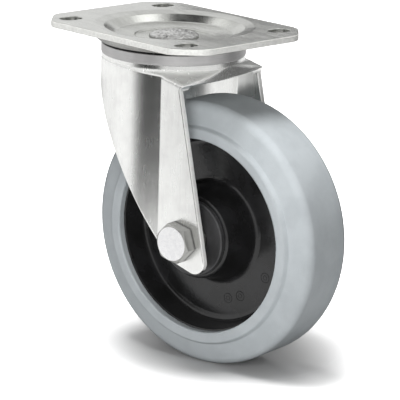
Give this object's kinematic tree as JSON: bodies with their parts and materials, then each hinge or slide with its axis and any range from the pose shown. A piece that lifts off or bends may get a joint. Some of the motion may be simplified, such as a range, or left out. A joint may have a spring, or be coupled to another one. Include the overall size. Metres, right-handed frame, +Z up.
{
  "type": "swivel castor",
  "caption": "Plate-mounted swivel castor with a pressed steel fork on a double ball race and a rubber-tyred wheel on a roller bearing.",
  "frame": {"origin": "centre of the mounting plate's top face, on the swivel axis", "axes": "+Z up out of the plate, X along the plate's short side, Y along its long side; the wheel trails towards -Y, turned 8.4 degrees"},
  "size_m": [0.1157, 0.194, 0.2057],
  "materials": {
    "plate_steel": "zinc-plated pressed steel, dull satin",
    "fork_steel": "bright zinc-plated pressed steel",
    "ring_steel": "zinc-plated, fine satin",
    "pin_steel": "zinc-plated, hammered rivet head",
    "ball_steel": "polished hardened steel",
    "cage_steel": "pressed sheet steel",
    "bolt_steel": "zinc-plated bolt steel",
    "bearing_steel": "ground hardened steel",
    "cage_plastic": "moulded plastic, matt",
    "rim_plastic": "black moulded plastic, glossy",
    "tyre_rubber": "grey rubber, smooth matt"
  },
  "bodies": {
    "plate": {"top_plate": "plate_steel", "kingpin": "pin_steel", "lower_race_cup": "cage_steel"},
    "fork": {"fork": "fork_steel", "head_ring": "ring_steel", "axle_bolt": "bolt_steel", "axle_nut": "bolt_steel", "axle_tube": "bearing_steel", "axle_collars": "bolt_steel"},
    "wheel": {"tyre": "tyre_rubber", "rim": "rim_plastic", "bearing_sleeve": "bearing_steel", "thrust_washers": "bearing_steel", "hub_cap_near": "rim_plastic", "hub_cap_far": "rim_plastic"},
    "upper_race": {"upper_balls": "ball_steel", "upper_ball_cage": "cage_steel"},
    "lower_race": {"lower_balls": "ball_steel", "lower_ball_cage": "cage_steel"},
    "axle_rollers": {"bearing_rollers": "ball_steel", "roller_cage": "cage_plastic"}
  },
  "joints": [
    {"name": "swivel", "type": "hinge", "parent": "plate", "child": "fork", "pos_m": [0, 0, -0.0172], "axis": [0, 0, 1], "continuous": true},
    {"name": "wheel_roll", "type": "hinge", "parent": "fork", "child": "wheel", "pos_m": [0.00592, -0.04007, -0.123], "axis": [0.9893, 0.1461, 0], "continuous": true},
    {"name": "upper_race_turn", "type": "hinge", "parent": "plate", "child": "upper_race", "pos_m": [0, 0, -0.0133], "axis": [0, 0, 1], "continuous": true},
    {"name": "lower_race_turn", "type": "hinge", "parent": "plate", "child": "lower_race", "pos_m": [0, 0, -0.0236], "axis": [0, 0, 1], "continuous": true},
    {"name": "roller_turn", "type": "hinge", "parent": "fork", "child": "axle_rollers", "pos_m": [0.00592, -0.04007, -0.123], "axis": [0.9893, 0.1461, 0], "continuous": true}
  ],
  "couplings": [
    {"joint": "upper_race_turn", "follows": "swivel", "ratio": 0.5},
    {"joint": "lower_race_turn", "follows": "swivel", "ratio": 0.5},
    {"joint": "roller_turn", "follows": "wheel_roll", "ratio": 0.6}
  ]
}
